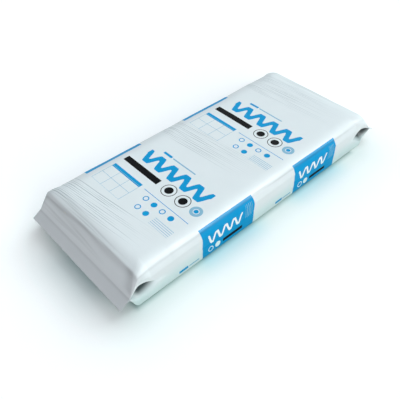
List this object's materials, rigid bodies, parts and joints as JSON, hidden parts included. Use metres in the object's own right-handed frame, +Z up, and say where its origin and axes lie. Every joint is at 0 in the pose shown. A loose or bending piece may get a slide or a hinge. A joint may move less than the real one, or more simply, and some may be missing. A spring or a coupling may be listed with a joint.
{
  "type": "bag of loose-fill insulation",
  "caption": "Long flat film bag packed tight with compressed loose-fill wool, with gusseted sides and a flat fin at each end.",
  "frame": {"origin": "on the floor under the middle of the bag", "axes": "+X along the bag's length, +Y across its width, +Z up from the face it lies on"},
  "size_m": [1.3542, 0.53, 0.145],
  "materials": {
    "film": "glossy printed polyethylene film",
    "wool": "compressed loose-fill wool"
  },
  "bodies": {
    "root": {"film_bag": "film", "wool_fill": "wool"}
  },
  "joints": []
}
